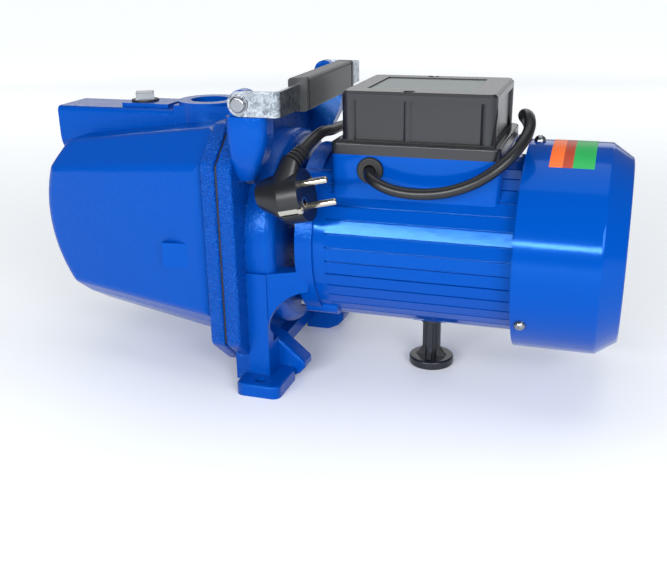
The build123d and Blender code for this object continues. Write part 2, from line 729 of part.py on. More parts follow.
# ---- shaft and bearings ----
def shaft():
    nut_front = impeller_rear_x - 1.5 - 2 * impeller_shroud - impeller_vane_width - 9.0
    steps = [(nut_front, thread_shaft_r), (nut_front + 9, impeller_shaft_r), (impeller_rear_x, seal_shaft_r)]
    steps += [(front_bearing_x - 14, shaft_r), (front_bearing_x + bearing_width, rotor_shaft_r)]
    steps += [(rear_bearing_x, shaft_r), (rear_bearing_x + bearing_width + 6, fan_shaft_r)]
    ends = [x for x, _ in steps[1:]] + [fan_front_x + fan_length + 4]
    body = None
    for (x0, radius), x1 in zip(steps, ends):
        piece = rod_x(radius, x0, x1)
        body = piece if body is None else body + piece
    body -= block(impeller_rear_x - 11, impeller_rear_x - 1, -key_width / 2, key_width / 2,
                  shaft_height + impeller_shaft_r - 2.0, shaft_height + impeller_shaft_r + 2)
    clip_x = fan_front_x + fan_length
    body -= tube_x(fan_shaft_r + 1, fan_shaft_r - 0.8, clip_x, clip_x + 1.3)
    return one(body)


def bearing_race(x):
    centre = x + bearing_width / 2
    return Pos(centre, 0, shaft_height) * Rot(0, 90, 0) * Torus(bearing_pitch_r, bearing_ball_r + 0.05)


def bearing_outer(x):
    return one(tube_x(bearing_outer_r, bearing_pitch_r + 2.2, x, x + bearing_width) - bearing_race(x))


def bearing_inner(x):
    return one(tube_x(bearing_pitch_r - 2.2, shaft_r, x, x + bearing_width) - bearing_race(x))


def bearing_cage(x):
    """Ball set with the pressed cage that spaces the balls."""
    centre = x + bearing_width / 2
    cage = tube_x(bearing_pitch_r + 1.1, bearing_pitch_r - 1.1, centre - 3.4, centre + 3.4)
    for k in range(bearing_balls):
        turn = math.radians(360 * k / bearing_balls)
        y = bearing_pitch_r * math.cos(turn)
        z = shaft_height + bearing_pitch_r * math.sin(turn)
        cage += Pos(centre, y, z) * Sphere(bearing_ball_r)
    return one(cage)


def slinger_ring():
    front = barrel_rear_x + 4.5
    profile = [(front, shaft_r), (front, 12.0), (front + 2, 18.0), (front + 3.6, 18.0), (front + 3, 11.0)]
    profile += [(front + 5, 11.0), (front + 5, shaft_r)]
    return one(revolve_x(profile))


def wave_spring():
    rear = rear_bearing_x + bearing_width
    return one(tube_x(bearing_outer_r - 0.5, bearing_outer_r - 4.5, rear, rear + 1.2))


# ---- motor ----
def facet_outline():
    """Many-sided ring of flat lands with a narrow groove between each pair."""
    pitch = 360.0 / facet_count
    half = math.degrees(groove_width / 2 / housing_r)
    points = []
    for k in range(facet_count):
        middle = pitch * (k + 0.5)
        for turn, radius in ((middle - half, housing_r), (middle - half, housing_r - groove_depth),
                             (middle + half, housing_r - groove_depth), (middle + half, housing_r)):
            a = math.radians(turn)
            points.append((radius * math.cos(a), shaft_height + radius * math.sin(a)))
    return points


def motor_housing():
    fins_front = housing_front_x + housing_front_ring
    fins_rear = housing_end_x - housing_rear_ring
    body = extrude(section_yz(fins_front, facet_outline()), fins_rear - fins_front, dir=(1, 0, 0))
    body += rod_x(housing_r, housing_front_x, fins_front)
    body += rod_x(housing_r, fins_rear, housing_end_x)
    platform = block(platform_front_x, platform_rear_x, -platform_half_width, platform_half_width,
                     shaft_height + 38, platform_z)
    platform = fillet(platform.edges().filter_by(Axis.Z), 5.0)
    body += platform
    for y, z in screw_places():
        body += rod_x(ear_r, housing_front_x, fins_front + 3, y, z)
    body += block(rest_x - 13, rest_x + 13, -11, 11, shaft_height - housing_r - 1.5, shaft_height - housing_r + 6)
    body -= rod_x(housing_bore_r, housing_front_x - 1, housing_end_x + 1)
    for y, z in screw_places():
        body -= rod_x(motor_screw_r, housing_front_x - 1, fins_front + 1, y, z)
    for y, z in screw_places(shield_screw_circle, 45):
        body -= rod_x(shield_screw_r, housing_end_x - 9, housing_end_x + 1, y, z)
    body -= rod_y(grommet_hole_r, -platform_half_width - 1, -platform_half_width + 13, grommet_x, grommet_z)
    body -= rod_z(6.0, grommet_z - 2, platform_z + 1, grommet_x, -platform_half_width + 10)
    body -= rod_z(3.0, shaft_height - housing_r - 2, shaft_height - housing_r + 5, rest_x, 0)
    for x, y in base_screw_places():
        body -= rod_z(base_screw_r, platform_z - 8, platform_z + 1, x, y)
    return one(body)




def base_screw_places():
    return [(x, y) for x in (platform_front_x + 17, platform_rear_x - 17) for y in (-31, 31)]


def stator_core():
    return one(tube_x(housing_bore_r, stator_bore_r, stator_front_x, stator_front_x + stator_length))


def stator_winding():
    front = stator_front_x
    rear = stator_front_x + stator_length
    ends = []
    for x0, x1 in ((front - winding_reach, front), (rear, rear + winding_reach)):
        ring = tube_x(stator_bore_r + 21, stator_bore_r + 3, x0, x1)
        outer = ring.edges().filter_by(GeomType.CIRCLE)
        away = outer.sort_by(Axis.X)[:2] if x1 == front else outer.sort_by(Axis.X)[-2:]
        ends.append(fillet(away, 6.0))
    return group(ends)


def rotor_core():
    radius = stator_bore_r - rotor_gap
    body = tube_x(radius, rotor_shaft_r, stator_front_x, stator_front_x + stator_length)
    for x0, x1 in ((stator_front_x - 8, stator_front_x), (stator_front_x + stator_length,
                                                          stator_front_x + stator_length + 8)):
        body += tube_x(radius - 1, radius - 9, x0, x1)
    return one(body)


def motor_flange_screws():
    screws = []
    for y, z in screw_places():
        head = rod_x(motor_screw_r + 2.0, motor_flange_front_x - 5, motor_flange_front_x, y, z)
        head -= hex_x(4.0, motor_flange_front_x - 6, motor_flange_front_x - 2.5, y, z)
        screws.append(head + rod_x(motor_screw_r, motor_flange_front_x, housing_front_x + 9, y, z))
    return group(screws)


def rear_end_shield():
    rear = housing_end_x + shield_thickness
    body = rod_x(shield_r, housing_end_x, rear)
    body += rod_x(housing_bore_r - slide_fit, housing_end_x - spigot_length, housing_end_x)
    hub_rear = rear_bearing_x + bearing_width + 5
    body += rod_x(bearing_outer_r + 6, housing_end_x - spigot_length, hub_rear)
    for turn in cover_screw_turns:
        arm = rod_y(5.0, shield_r - 8, cover_r - cover_wall - slide_fit, 0, 0)
        arm = Pos(cover_screw_x, 0, shaft_height) * Rot(turn, 0, 0) * arm
        body += arm
    body -= tube_x(housing_bore_r - 5, bearing_outer_r + 6, housing_end_x - spigot_length - 1, rear - 4)
    body -= rod_x(bearing_outer_r, housing_end_x - spigot_length - 1, rear_bearing_x + bearing_width + 1.2)
    body -= rod_x(shaft_r + 1.5, rear_bearing_x, hub_rear + 1)
    for y, z in screw_places(shield_screw_circle, 45):
        body -= rod_x(shield_screw_r + 0.2, housing_end_x - 1, rear + 1, y, z)
    for turn in cover_screw_turns:
        hole = rod_y(cover_screw_r, shield_r, cover_r, 0, 0)
        body -= Pos(cover_screw_x, 0, shaft_height) * Rot(turn, 0, 0) * hole
    return one(body)




def end_shield_screws():
    rear = housing_end_x + shield_thickness
    screws = []
    for y, z in screw_places(shield_screw_circle, 45):
        head = rod_x(shield_screw_r + 1.4, rear, rear + 2.4, y, z)
        screws.append(head + rod_x(shield_screw_r, housing_end_x - 8, rear, y, z))
    return group(screws)


# ---- fan and cover ----
def fan():
    rear = fan_front_x + fan_length
    body = tube_x(13.0, fan_shaft_r, fan_front_x, rear)
    body += tube_x(fan_r - 12, 12.0, fan_front_x, fan_front_x + 2.5)
    for k in range(fan_blades):
        blade = block(fan_front_x, rear - 2, 11, fan_r, shaft_height - 1.2, shaft_height + 1.2)
        body += Pos(0, 0, shaft_height) * Rot(360 * k / fan_blades, 0, 0) * Pos(0, 0, -shaft_height) * blade
    return one(body)


def fan_clip():
    clip_x = fan_front_x + fan_length
    ring = tube_x(fan_shaft_r + 3.0, fan_shaft_r - 0.8, clip_x, clip_x + 1.2)
    return one(ring - block(clip_x - 1, clip_x + 3, -2.5, 2.5, shaft_height, shaft_height + 12))


def fan_cover():
    outer = [(cover_front_x, 0), (cover_front_x, cover_r), (cover_chamfer_x, cover_r)]
    outer += [(cover_rear_x, cover_rear_r), (cover_rear_x, 0)]
    body = revolve_x(outer)
    rims = body.edges().filter_by(GeomType.CIRCLE).sort_by(Axis.X)[1:]
    body = fillet(rims, 3.0)
    t = cover_wall
    inner = [(cover_front_x - 1, 0), (cover_front_x - 1, cover_r - t), (cover_chamfer_x - 0.6, cover_r - t)]
    inner += [(cover_rear_x - t, cover_rear_r - t), (cover_rear_x - t, 0)]
    body -= revolve_x(inner)
    slot = block(cover_rear_x - 6, cover_rear_x + 2, grille_inner_r, grille_outer_r,
                 shaft_height - grille_slot_width / 2, shaft_height + grille_slot_width / 2)
    slot = fillet(slot.edges().filter_by(Axis.X), grille_slot_width / 2 - 0.05)
    for k in range(grille_slots):
        body -= Pos(0, 0, shaft_height) * Rot(360 * k / grille_slots, 0, 0) * Pos(0, 0, -shaft_height) * slot
    for turn in cover_screw_turns:
        hole = rod_y(cover_screw_r + 0.3, cover_r - 6, cover_r + 3, 0, 0)
        body -= Pos(cover_screw_x, 0, shaft_height) * Rot(turn, 0, 0) * hole
    return one(body)


def fan_cover_screws():
    screws = []
    for turn in cover_screw_turns:
        shank = rod_y(cover_screw_r, shield_r + 1, cover_r, 0, 0)
        head = Pos(0, cover_r, 0) * Rot(-90, 0, 0) * (Sphere(4.2) & Pos(0, 0, 2.1) * Box(9, 9, 4.2))
        head -= Pos(0, cover_r + 4.0, 0) * Box(0.8, 1.6, 9)
        screws.append(Pos(cover_screw_x, 0, shaft_height) * Rot(turn, 0, 0) * (shank + head))
    return group(screws)


def cover_label():
    front = cover_front_x + 16.8
    ring = tube_x(cover_r + 0.15, cover_r, front, front + 30)
    return one(ring & block(front - 1, front + 31, -38, 20, shaft_height + 20, shaft_height + 100))


# ---- terminal box ----
def terminal_box_base():
    base = block(skirt_front_x, skirt_rear_x, -skirt_half_width, skirt_half_width, platform_z, skirt_top_z)
    base = fillet(base.edges().filter_by(Axis.Z), 5.0)
    base = fillet(base.edges().group_by(Axis.Z)[-1], 1.5)
    wall_x0 = lid_front_x + lid_wall + 0.3
    wall_x1 = lid_rear_x - lid_wall - 0.3
    wall_y = lid_half_width - lid_panel_inset - lid_wall - 0.3
    base += block(wall_x0, wall_x1, -wall_y, wall_y, platform_z + 2, skirt_top_z + 5)
    base -= block(wall_x0 + 2.5, wall_x1 - 2.5, 2.5 - wall_y, wall_y - 2.5, platform_z + 3, skirt_top_z + 6)
    for y in (-lid_screw_y, lid_screw_y):
        base += rod_z(lid_boss_r, platform_z + 2, skirt_top_z + lid_gasket_thickness, lid_screw_x, y)
        base -= rod_z(lid_boss_r + 0.6, skirt_top_z + lid_gasket_thickness, skirt_top_z + 6, lid_screw_x, y)
        base -= rod_z(lid_screw_r, platform_z + 3, skirt_top_z + 6, lid_screw_x, y)
    base -= rod_z(5.0, platform_z - 1, platform_z + 8, grommet_x, -platform_half_width + 10)
    for x, y in base_screw_places():
        base -= rod_z(base_screw_r + 0.2, platform_z - 1, platform_z + 8, x, y)
    return one(base)


def box_base_screws():
    low = platform_z + 3
    return group([rod_z(base_screw_r, platform_z - 7, low, x, y) + rod_z(3.2, low, low + 2.2, x, y)
                  for x, y in base_screw_places()])


def lid_gasket():
    outer = block(lid_front_x + 0.5, lid_rear_x - 0.5, 0.5 - lid_half_width, lid_half_width - 0.5,
                  skirt_top_z, skirt_top_z + lid_gasket_thickness)
    reach = lid_half_width - lid_panel_inset - lid_wall
    ring = outer - block(lid_front_x + lid_wall, lid_rear_x - lid_wall, -reach, reach,
                         skirt_top_z - 1, skirt_top_z + 2)
    for y in (-lid_screw_y, lid_screw_y):
        ring -= rod_z(lid_boss_r + 0.2, skirt_top_z - 1, skirt_top_z + 2, lid_screw_x, y)
    return group([ring])


def terminal_box_lid():
    low = skirt_top_z + lid_gasket_thickness
    inset = lid_panel_inset
    top_plate = 6.0
    lid = block(lid_front_x, lid_rear_x, -lid_half_width, lid_half_width, lid_top_z - top_plate, lid_top_z)
    lid = fillet(lid.edges().filter_by(Axis.Z), pillar_r)
    lid = chamfer(lid.edges().group_by(Axis.Z)[-1], 2.0)
    lid += block(lid_front_x + inset, lid_rear_x - inset, inset - lid_half_width, lid_half_width - inset,
                 low, lid_top_z - 2)
    for x in (lid_front_x + pillar_r, lid_rear_x - pillar_r):
        for y in (pillar_r - lid_half_width, lid_half_width - pillar_r):
            lid += rod_z(pillar_r, low, lid_top_z - 3, x, y)
    reach = lid_half_width - inset - lid_wall
    lid -= block(lid_front_x + lid_wall, lid_rear_x - lid_wall, -reach, reach, low - 1, lid_top_z - lid_wall - 1.5)
    lid -= block(label_front_x, label_rear_x, label_near_y, label_far_y, lid_top_z - label_recess, lid_top_z + 1)
    for y in (-lid_screw_y, lid_screw_y):
        lid += rod_z(lid_boss_r, low + running_gap, lid_top_z - 3, lid_screw_x, y)
        lid -= rod_z(lid_screw_r + 0.2, low - 1, lid_top_z + 1, lid_screw_x, y)
        lid -= rod_z(lid_screw_head_r + 0.6, lid_top_z - 3.0, lid_top_z + 1, lid_screw_x, y)
    return one(lid)


def lid_screws():
    seat = lid_top_z - 3.0
    screws = []
    for y in (-lid_screw_y, lid_screw_y):
        screw = rod_z(lid_screw_head_r, seat, seat + 2.2, lid_screw_x, y)
        screw += rod_z(lid_screw_r, platform_z + 4, seat, lid_screw_x, y)
        for turn in (0, 90):
            screw -= Pos(lid_screw_x, y, seat + 2.2) * Rot(0, 0, turn) * Box(4.6, 0.8, 2.0)
        screws.append(screw)
    return group(screws)


def lid_label():
    low = lid_top_z - label_recess
    return one(block(label_front_x + 0.3, label_rear_x - 0.3, label_near_y + 0.3, label_far_y - 0.3,
                     low, low + label_thickness))


def capacitor():
    z = platform_z + 3.3 + capacitor_r
    body = rod_x(capacitor_r, 85, 85 + capacitor_length, 18, z)
    body = fillet(body.edges().filter_by(GeomType.CIRCLE), 1.5)
    for y in (14, 22):
        body += block(79, 86, y - 0.4, y + 0.4, z - 3, z + 3)
    return one(body)


def terminal_block():
    low = platform_z + 3
    front = skirt_front_x + 37.5
    body = block(front, front + 56, -24, -6, low, low + 14)
    for k in range(5):
        body -= rod_z(3.0, low + 8, low + 15, front + 6 + 11 * k, -15)
    for k in range(4):
        body -= block(front + 11 + 11 * k, front + 12 + 11 * k, -25, -5, low + 6, low + 15)
    return one(body)


# ---- handle ----
def handle_strap():
    """Flat steel bail: two legs, two bends and the cross bar inside the grip."""
    outer_y = strap_inner_y + strap_thickness
    bar_x1 = grip_x + strap_thickness / 2
    outer = block(pivot_x, bar_x1, -outer_y, outer_y, pivot_z - strap_width / 2, pivot_z + strap_width / 2)
    outer = fillet(outer.edges().filter_by(Axis.Z).sort_by(Axis.X)[-2:], strap_bend_r)
    inner = block(pivot_x - 20, bar_x1 - strap_thickness, -strap_inner_y, strap_inner_y,
                  pivot_z - strap_width, pivot_z + strap_width)
    inner = fillet(inner.edges().filter_by(Axis.Z).sort_by(Axis.X)[-2:], strap_bend_r - strap_thickness)
    strap = outer - inner
    for side in (-1, 1):
        y0 = min(side * strap_inner_y, side * outer_y)
        y1 = max(side * strap_inner_y, side * outer_y)
        strap += rod_y(strap_width / 2, y0, y1, pivot_x, pivot_z)
        strap -= rod_y(pivot_bolt_r + slide_fit, y0 - 1, y1 + 1, pivot_x, pivot_z)
    return one(strap)


def handle_grip():
    grip = block(grip_x - grip_depth / 2, grip_x + grip_depth / 2, -grip_half_length, grip_half_length,
                 pivot_z + 1.2 - grip_height / 2, pivot_z + 1.2 + grip_height / 2)
    grip = fillet(grip.edges().filter_by(Axis.Y), 2.5)
    for side in (-1, 1):
        y = side * (grip_half_length - 4.5)
        band = block(grip_x - grip_depth, grip_x + grip_depth, y - 1.2, y + 1.2, pivot_z - 20, pivot_z + 25)
        band -= block(grip_x - grip_depth / 2 + 0.8, grip_x + grip_depth / 2 - 0.8, y - 2, y + 2,
                      pivot_z + 2.0 - grip_height / 2, pivot_z + 0.4 + grip_height / 2)
        grip -= band
    grip -= block(grip_x - strap_thickness / 2, grip_x + strap_thickness / 2, -80, 80,
                  pivot_z - strap_width / 2, pivot_z + strap_width / 2)
    return one(grip)


def handle_pivot_bolts():
    bolts = []
    for side in (-1, 1):
        seat = strap_inner_y + strap_thickness + running_gap + 1.0
        shank = rod_y(pivot_bolt_r, lug_inner_y - 2, seat, pivot_x, pivot_z)
        head = rod_y(pivot_head_r, seat, seat + pivot_head_height, pivot_x, pivot_z)
        head = fillet(head.edges().filter_by(GeomType.CIRCLE).sort_by(Axis.Y)[-1:], 1.6)
        bolt = shank + head
        bolts.append(bolt if side > 0 else mirror(bolt, Plane.XZ))
    return group(bolts)


def handle_washers():
    washers = []
    for side in (-1, 1):
        y0 = strap_inner_y + strap_thickness + running_gap
        ring = rod_y(pivot_head_r + 1.0, y0, y0 + 1.0, pivot_x, pivot_z)
        ring -= rod_y(pivot_bolt_r, y0 - 1, y0 + 2, pivot_x, pivot_z)
        washers.append(ring if side > 0 else mirror(ring, Plane.XZ))
    return group(washers)


# ---- motor foot ----
def motor_foot():
    top = shaft_height - housing_r - 1.5
    body = rod_z(rest_disc_r, 0, rest_disc_thickness, rest_x, 0)
    body = fillet(body.edges().filter_by(GeomType.CIRCLE), 1.6)
    half = rest_post_width / 2
    for wide_x, wide_y in ((half, rest_rib / 2), (rest_rib / 2, half)):
        body += block(rest_x - wide_x, rest_x + wide_x, -wide_y, wide_y, rest_disc_thickness - 2, top)
    cone = Pos(rest_x, 0, rest_disc_thickness + 4) * Cone(rest_disc_r - 4, 5.0, 12)
    ribs = block(rest_x - 20, rest_x + 20, -rest_rib / 2, rest_rib / 2, 0, 40)
    ribs += block(rest_x - rest_rib / 2, rest_x + rest_rib / 2, -20, 20, 0, 40)
    body += cone & ribs
    body += rod_z(5.0, rest_disc_thickness - 2, top, rest_x, 0)
    body += rod_z(9.0, top - 3, top, rest_x, 0)
    body -= rod_z(2.5, -1, top + 1, rest_x, 0)
    body -= rod_z(5.0, -1, 4.5, rest_x, 0)
    return one(body)


def motor_foot_screw():
    top = shaft_height - housing_r - 1.5
    head = rod_z(4.4, 1.5, 4.5, rest_x, 0)
    head -= Pos(rest_x, 0, 1.5) * Box(5.0, 0.9, 2.4)
    return one(head + rod_z(2.4, 4.5, top + 5, rest_x, 0))


# ---- mains lead ----
cord_route = [
    (76.5, -50.0, 168.0), (76.5, -61.0, 167.4), (84.0, -68.5, 163.5), (97.0, -71.0, 159.0),
    (115.0, -71.5, 157.5), (135.0, -71.0, 160.0), (154.0, -68.0, 167.0), (169.0, -61.5, 177.5),
    (179.0, -51.0, 188.5), (184.0, -37.5, 198.0), (182.0, -21.5, 204.5), (176.5, -5.0, 204.0),
    (173.5, 12.5, 199.0), (176.0, 31.0, 191.0), (175.5, 49.0, 179.0), (164.0, 64.0, 169.0),
    (141.0, 69.0, 161.0), (114.0, 69.5, 156.0), (87.0, 69.5, 157.0), (61.0, 69.0, 164.0),
    (42.0, 62.0, 173.0), (33.5, 44.0, 181.0), (34.5, 20.0, 185.5), (38.5, -5.0, 189.0),
    (40.0, -29.0, 190.5), (41.0, -49.0, 194.0), (40.67, -66.46, 192.66), (35.5, -76.0, 185.5),
]


def cord_radii():
    """Each bend takes the largest arc that its two runs allow."""
    points = [Vector(*p) for p in cord_route]
    radii = []
    for before, here, after in zip(points, points[1:], points[2:]):
        turn = math.radians((here - before).get_angle(after - here))
        shorter = min((here - before).length, (after - here).length)
        radii.append(0.45 * shorter / math.tan(turn / 2))
    return radii


def power_cord():
    radii = cord_radii()
    path = FilletPolyline(*cord_route, radius=radii)
    start = Vector(*cord_route[0])
    heading = Vector(*cord_route[1]) - start
    section = Plane(origin=start, z_dir=heading) * Circle(cord_r)
    cord = sweep(section, path=path)
    print("cord radii", [round(r, 1) for r in radii])
    print("cord length", round(path.length, 1), "volume ratio", round(cord.volume / (path.length * math.pi * cord_r ** 2), 4))
    return one(cord)


def cable_grommet():
    """Rubber ring whose waist sits in the platform's wall."""
    face = -platform_half_width
    ring = rod_y(grommet_r, face - grommet_reach, face, grommet_x, grommet_z)
    ring = fillet(ring.edges().filter_by(GeomType.CIRCLE).sort_by(Axis.Y)[:1], 1.2)
    ring += rod_y(grommet_hole_r, face, face + 4, grommet_x, grommet_z)
    ring -= rod_y(cord_r + 0.4, face - 5, face + 5, grommet_x, grommet_z)
    return one(ring)


def plug_plane():
    """Plane of the plug's front face; its normal is the way the pins point."""
    tilt = math.radians(plug_tilt)
    return Plane(origin=plug_face, x_dir=(0, 1, 0), z_dir=(math.cos(tilt), 0, math.sin(tilt)))


def plug_body():
    local = plug_plane()
    front = local * Circle(plug_r)
    mid = local.offset(-15) * Circle(plug_r)
    skirt = extrude(front, -15)
    up = Vector(local.y_dir)
    if up.Z < 0:
        up = up * -1
    rear = Plane(origin=Vector(*plug_face) - local.z_dir * plug_body_length + up * 5, x_dir=local.x_dir,
                 z_dir=local.z_dir) * Ellipse(12.0, 10.0)
    back = loft([rear.faces()[0], mid.faces()[0]])
    body = skirt + back
    relief = Vector(*relief_tip) - Vector(*relief_base)
    collar = Plane(origin=Vector(*relief_base) + relief.normalized() * 2, z_dir=relief) * Circle(relief_base_r + 0.8)
    root = Plane(origin=(27.0, -90.5, 163.0), z_dir=(0.15, 0.25, 0.95)) * Circle(11.0)
    body += loft([root.faces()[0], collar.faces()[0]])
    body -= clip_slots()
    body -= plug_strain_relief()
    body -= contact_plane() * Pos(0, 0, -4) * Cylinder(contact_r + 1.0, 12)
    for pin in pin_bases():
        seat = Plane(origin=pin - local.z_dir * pin_root_length, z_dir=local.z_dir)
        body -= seat * Pos(0, 0, 10) * Cylinder(pin_root_r, 20)
    return one(body)


def pin_line():
    """Direction from one pin to the other, across the plug's face: nearly upright."""
    local = plug_plane()
    up = Vector(local.y_dir)
    if up.Z < 0:
        up = up * -1
    side = Vector(0, 1, 0)
    turn = math.radians(24)
    return (up * math.cos(turn) - side * math.sin(turn)).normalized()


def pin_bases():
    centre = Vector(*plug_face)
    line = pin_line()
    return [centre + line * (pin_spacing / 2), centre - line * (pin_spacing / 2)]


def plug_pins():
    local = plug_plane()
    pins = []
    for base in pin_bases():
        seat = Plane(origin=base, z_dir=local.z_dir)
        pin = seat * Pos(0, 0, (pin_length + pin_neck) / 2) * Cylinder(pin_r, pin_length - pin_neck)
        pin += seat * Pos(0, 0, (pin_neck - pin_root_length) / 2) * Cylinder(pin_root_r, pin_root_length + pin_neck)
        pins.append(fillet(pin.edges().filter_by(GeomType.CIRCLE).sort_by(Axis.X)[-1:], 1.4))
    return group(pins)


def clip_frame(sign):
    """Plane at one rim flat of the plug, where an earth clip lies: z out of the rim, x back along the body."""
    local = plug_plane()
    across = local.z_dir.cross(pin_line()).normalized() * sign
    return Plane(origin=Vector(*plug_face) + across * (plug_r - 2.5), x_dir=local.z_dir * -1, z_dir=across)


def contact_plane():
    """Plane of the round earth contact in the plug's face, beside the pins."""
    local = plug_plane()
    aside = local.z_dir.cross(pin_line()).normalized()
    if aside.Y > 0:
        aside = aside * -1
    return Plane(origin=Vector(*plug_face) + aside * contact_offset, x_dir=aside, z_dir=local.z_dir)


def clip_slots():
    return clip_frame(1) * Pos(5, 0, 2) * Box(30, clip_width + 1.2, 4) + clip_frame(-1) * Pos(5, 0, 2) * Box(
        30, clip_width + 1.2, 4)


def plug_earth_clips():
    clips = []
    for sign in (-1, 1):
        clip = clip_frame(sign) * Pos(8, 0, 0.6) * Box(18, clip_width, 1.2)
        hook = clip_frame(sign) * Pos(1.0, 0, 1.4) * Box(3.0, clip_width, 2.0)
        clips.append(clip + hook)
    bush = Cylinder(contact_r + 1.0, 9) - Cylinder(contact_r, 12)
    clips.append(contact_plane() * Pos(0, 0, -4.2) * bush)
    return group(clips)


def plug_strain_relief():
    """Ribbed rubber sleeve between plug and cord, tapering to the cord."""
    base = Vector(*relief_base)
    tip = Vector(*relief_tip)
    axis = tip - base
    length = axis.length
    local = Plane(origin=base, z_dir=axis)
    core = Pos(0, 0, length / 2) * Cone(relief_base_r - 1.4, relief_tip_r - 0.6, length)
    for k in range(5):
        z = length * (k + 0.5) / 5
        radius = relief_base_r + (relief_tip_r - relief_base_r) * (k + 0.5) / 5
        core += Pos(0, 0, z) * Cylinder(radius, length / 8)
    return one(local * core)


# ---- build every piece ----
save("pump_casing", pump_casing())
save("priming_plug", priming_plug())
save("priming_plug_seal", priming_plug_seal())
save("drain_plug", drain_plug())
save("drain_plug_seal", drain_plug_seal())
save("ejector_body", ejector_body())
save("ejector_nozzle", ejector_nozzle())
save("ejector_o_ring", ejector_o_ring())
save("diffuser", diffuser())
save("impeller", impeller())
save("impeller_key", impeller_key())
save("impeller_nut", impeller_nut())
save("seal_seat", seal_seat())
save("seal_head", seal_head())
save("casing_gasket", casing_gasket())
save("casing_bolts", casing_bolts())
save("casing_washers", casing_washers())
save("bracket", bracket())
save("handle_strap", handle_strap())
save("handle_grip", handle_grip())
save("handle_pivot_bolts", handle_pivot_bolts())
save("handle_washers", handle_washers())
save("shaft", shaft())
save("front_bearing_outer", bearing_outer(front_bearing_x))
save("front_bearing_inner", bearing_inner(front_bearing_x))
save("front_bearing_cage", bearing_cage(front_bearing_x))
save("rear_bearing_outer", bearing_outer(rear_bearing_x))
save("rear_bearing_inner", bearing_inner(rear_bearing_x))
save("rear_bearing_cage", bearing_cage(rear_bearing_x))
save("slinger_ring", slinger_ring())
save("wave_spring", wave_spring())
save("motor_housing", motor_housing())
save("stator_core", stator_core())
save("stator_winding", stator_winding())
save("rotor_core", rotor_core())
save("motor_flange_screws", motor_flange_screws())
save("rear_end_shield", rear_end_shield())
save("end_shield_screws", end_shield_screws())
save("fan", fan())
save("fan_clip", fan_clip())
save("fan_cover", fan_cover())
save("fan_cover_screws", fan_cover_screws())
save("cover_label", cover_label())
save("terminal_box_base", terminal_box_base())
save("box_base_screws", box_base_screws())
save("lid_gasket", lid_gasket())
save("terminal_box_lid", terminal_box_lid())
save("lid_screws", lid_screws())
save("lid_label", lid_label())
save("capacitor", capacitor())
save("terminal_block", terminal_block())
save("motor_foot", motor_foot())
save("motor_foot_screw", motor_foot_screw())
save("cable_grommet", cable_grommet())
save("power_cord", power_cord())
save("plug_body", plug_body())
save("plug_pins", plug_pins())
save("plug_earth_clips", plug_earth_clips())
save("plug_strain_relief", plug_strain_relief())
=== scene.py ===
import json
import math

import bpy
from mathutils import Matrix, Vector


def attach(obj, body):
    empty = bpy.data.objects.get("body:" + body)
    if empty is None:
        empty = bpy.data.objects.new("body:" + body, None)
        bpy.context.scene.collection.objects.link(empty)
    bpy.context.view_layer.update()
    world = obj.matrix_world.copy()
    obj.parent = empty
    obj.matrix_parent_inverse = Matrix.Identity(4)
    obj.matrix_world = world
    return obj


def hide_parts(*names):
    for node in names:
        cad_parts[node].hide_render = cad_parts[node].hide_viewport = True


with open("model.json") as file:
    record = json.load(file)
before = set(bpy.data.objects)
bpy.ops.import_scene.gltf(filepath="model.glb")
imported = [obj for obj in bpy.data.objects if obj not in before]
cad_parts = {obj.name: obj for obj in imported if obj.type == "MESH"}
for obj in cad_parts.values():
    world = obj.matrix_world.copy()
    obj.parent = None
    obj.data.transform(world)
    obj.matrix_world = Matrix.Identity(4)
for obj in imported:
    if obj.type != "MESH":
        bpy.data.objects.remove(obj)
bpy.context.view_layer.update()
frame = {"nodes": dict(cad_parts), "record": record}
scene = bpy.context.scene
cad = frame["nodes"]


# ---- camera ----
# Stands a little toward the fan end and looks down on the near side, with a normal lens.
yaw = math.radians(18.256)
pitch = math.radians(20.554)
roll = math.radians(-0.957)
forward = Vector((-math.sin(yaw) * math.cos(pitch), math.cos(yaw) * math.cos(pitch), -math.sin(pitch)))
level = forward.cross(Vector((0, 0, 1))).normalized()
upward = level.cross(forward)
right = level * math.cos(roll) + upward * math.sin(roll)
top = upward * math.cos(roll) - level * math.sin(roll)
turn = Matrix((right, top, -forward)).transposed().to_4x4()
camera = bpy.data.objects.new("camera", bpy.data.cameras.new("camera"))
camera.matrix_world = Matrix.Translation((0.24193, -0.64126, 0.31074)) @ turn
camera.data.sensor_width = 36.0
camera.data.lens = 47.546
camera.data.clip_start = 0.01
scene.collection.objects.link(camera)
scene.camera = camera


# ---- mains lead ----
# Round black lead: out of the platform's grommet, up in a loop past the box,
# round behind it and back to the plug.
# Its points are those of the solid lead.
def linear(hex_colour):
    """Linear RGBA from an sRGB hex colour."""
    parts = [int(hex_colour[i:i + 2], 16) / 255 for i in (1, 3, 5)]
    return [c / 12.92 if c <= 0.04045 else ((c + 0.055) / 1.055) ** 2.4 for c in parts] + [1.0]


def material(name, colour, roughness, metallic=0.0, coat=0.0):
    """A plain material, which the sections below add to."""
    made = bpy.data.materials.new(name)
    made.use_nodes = True
    shader = made.node_tree.nodes["Principled BSDF"]
    shader.inputs["Base Color"].default_value = linear(colour)
    shader.inputs["Roughness"].default_value = roughness
    shader.inputs["Metallic"].default_value = metallic
    shader.inputs["Coat Weight"].default_value = coat
    shader.inputs["Coat Roughness"].default_value = 0.06
    return made


